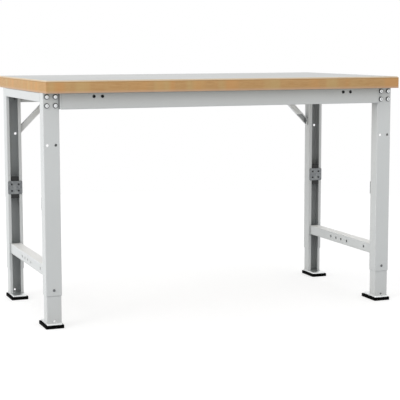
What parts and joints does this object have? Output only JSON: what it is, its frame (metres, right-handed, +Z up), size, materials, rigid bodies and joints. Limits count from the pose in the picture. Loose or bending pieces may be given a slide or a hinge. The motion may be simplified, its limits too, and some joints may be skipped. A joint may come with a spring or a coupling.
{
  "type": "height-adjustable workbench",
  "caption": "Workbench with a chamfered multiplex top with light laminate on a grey steel frame with telescopic legs.",
  "frame": {"origin": "on the floor under the middle of the top", "axes": "+X to the right along the bench, -Y to its front, +Z up"},
  "size_m": [1.255, 0.7, 0.795],
  "materials": {
    "frame_paint": "light grey powder coat, satin",
    "zinc_steel": "bright zinc-plated steel",
    "black_steel": "black oxide, dull, worn grey on the lock screws",
    "foot_steel": "bright zinc-plated steel plate",
    "galvanised_steel": "galvanised, dull grey",
    "rubber": "matt black moulded rubber",
    "black_plastic": "moulded black nylon",
    "multiplex": "birch multiplex, clear lacquer on the edges",
    "laminate": "light grey laminate, fine matt grain"
  },
  "bodies": {
    "bench_frame": {"worktop_core": "multiplex", "worktop_surface": "laminate", "front_beam": "frame_paint", "rear_beam": "frame_paint", "top_rail_left": "frame_paint", "low_rail_left": "frame_paint", "brace_left": "frame_paint", "brace_bolt_foot_left": "zinc_steel", "brace_bolt_head_left": "zinc_steel", "top_rail_right": "frame_paint", "low_rail_right": "frame_paint", "brace_right": "frame_paint", "brace_bolt_foot_right": "zinc_steel", "brace_bolt_head_right": "zinc_steel", "outer_column_front_left": "frame_paint", "corner_screw_front_left_1": "zinc_steel", "corner_screw_front_left_2": "zinc_steel", "corner_screw_front_left_3": "zinc_steel", "corner_screw_front_left_4": "zinc_steel", "lock_screw_front_left": "black_steel", "outer_column_rear_left": "frame_paint", "corner_screw_rear_left_1": "zinc_steel", "corner_screw_rear_left_2": "zinc_steel", "corner_screw_rear_left_3": "zinc_steel", "corner_screw_rear_left_4": "zinc_steel", "lock_screw_rear_left": "black_steel", "outer_column_front_right": "frame_paint", "corner_screw_front_right_1": "zinc_steel", "corner_screw_front_right_2": "zinc_steel", "corner_screw_front_right_3": "zinc_steel", "corner_screw_front_right_4": "zinc_steel", "lock_screw_front_right": "black_steel", "outer_column_rear_right": "frame_paint", "corner_screw_rear_right_1": "zinc_steel", "corner_screw_rear_right_2": "zinc_steel", "corner_screw_rear_right_3": "zinc_steel", "corner_screw_rear_right_4": "zinc_steel", "lock_screw_rear_right": "black_steel"},
    "leg_front_left": {"inner_column_front_left": "frame_paint", "foot_plate_front_left": "foot_steel", "rubber_pad_front_left": "rubber", "clamp_plate_front_left": "galvanised_steel", "clamp_block_front_left": "black_plastic"},
    "leg_rear_left": {"inner_column_rear_left": "frame_paint", "foot_plate_rear_left": "foot_steel", "rubber_pad_rear_left": "rubber", "clamp_plate_rear_left": "galvanised_steel", "clamp_block_rear_left": "black_plastic"},
    "leg_front_right": {"inner_column_front_right": "frame_paint", "foot_plate_front_right": "foot_steel", "rubber_pad_front_right": "rubber", "clamp_plate_front_right": "galvanised_steel", "clamp_block_front_right": "black_plastic"},
    "leg_rear_right": {"inner_column_rear_right": "frame_paint", "foot_plate_rear_right": "foot_steel", "rubber_pad_rear_right": "rubber", "clamp_plate_rear_right": "galvanised_steel", "clamp_block_rear_right": "black_plastic"}
  },
  "joints": [
    {"name": "height_front_left", "type": "slide", "parent": "bench_frame", "child": "leg_front_left", "axis": [0, 0, -1], "range_m": [-0.075, 0.075]},
    {"name": "height_rear_left", "type": "slide", "parent": "bench_frame", "child": "leg_rear_left", "axis": [0, 0, -1], "range_m": [-0.075, 0.075]},
    {"name": "height_front_right", "type": "slide", "parent": "bench_frame", "child": "leg_front_right", "axis": [0, 0, -1], "range_m": [-0.075, 0.075]},
    {"name": "height_rear_right", "type": "slide", "parent": "bench_frame", "child": "leg_rear_right", "axis": [0, 0, -1], "range_m": [-0.075, 0.075]}
  ]
}
